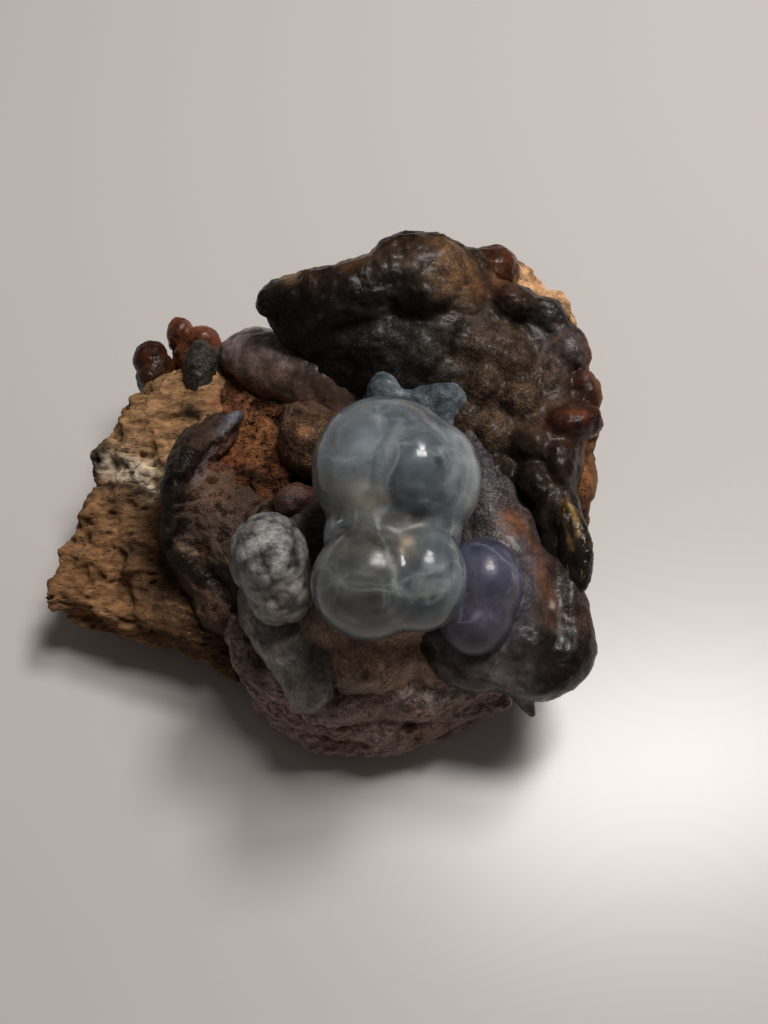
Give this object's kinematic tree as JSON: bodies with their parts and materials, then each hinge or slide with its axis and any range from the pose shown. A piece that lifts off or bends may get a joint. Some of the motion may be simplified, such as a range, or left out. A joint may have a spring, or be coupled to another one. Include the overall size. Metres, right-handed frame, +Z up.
{
  "type": "fire opal in matrix",
  "caption": "Hand specimen of dark botryoidal fire opal on brown porous rock, with see-through grey-blue opal bubbles in a curled hollow.",
  "frame": {"origin": "on the flat rest face under the rock, below the middle of the specimen", "axes": "+Z up, +X to the right as the specimen faces the viewer, +Y to its back"},
  "size_m": [0.078, 0.0707, 0.0452],
  "materials": {
    "porous_rock": "rough, porous, tan to rusty brown",
    "dark_opal": "dark brown botryoidal crust, glossy in places, frosted in others",
    "clear_opal": "see-through, milky grey-blue, satin gloss",
    "grey_opal": "mottled grey and white, frosted",
    "violet_opal": "cloudy violet-blue, glossy",
    "amber_opal": "glossy amber brown",
    "brown_opal": "glossy dark brown"
  },
  "bodies": {
    "root": {"matrix": "porous_rock", "opal_crust": "dark_opal", "opal_bubbles": "clear_opal", "grey_knob": "grey_opal", "violet_dome": "violet_opal", "amber_knobs": "amber_opal", "brown_knob": "brown_opal"}
  },
  "joints": []
}
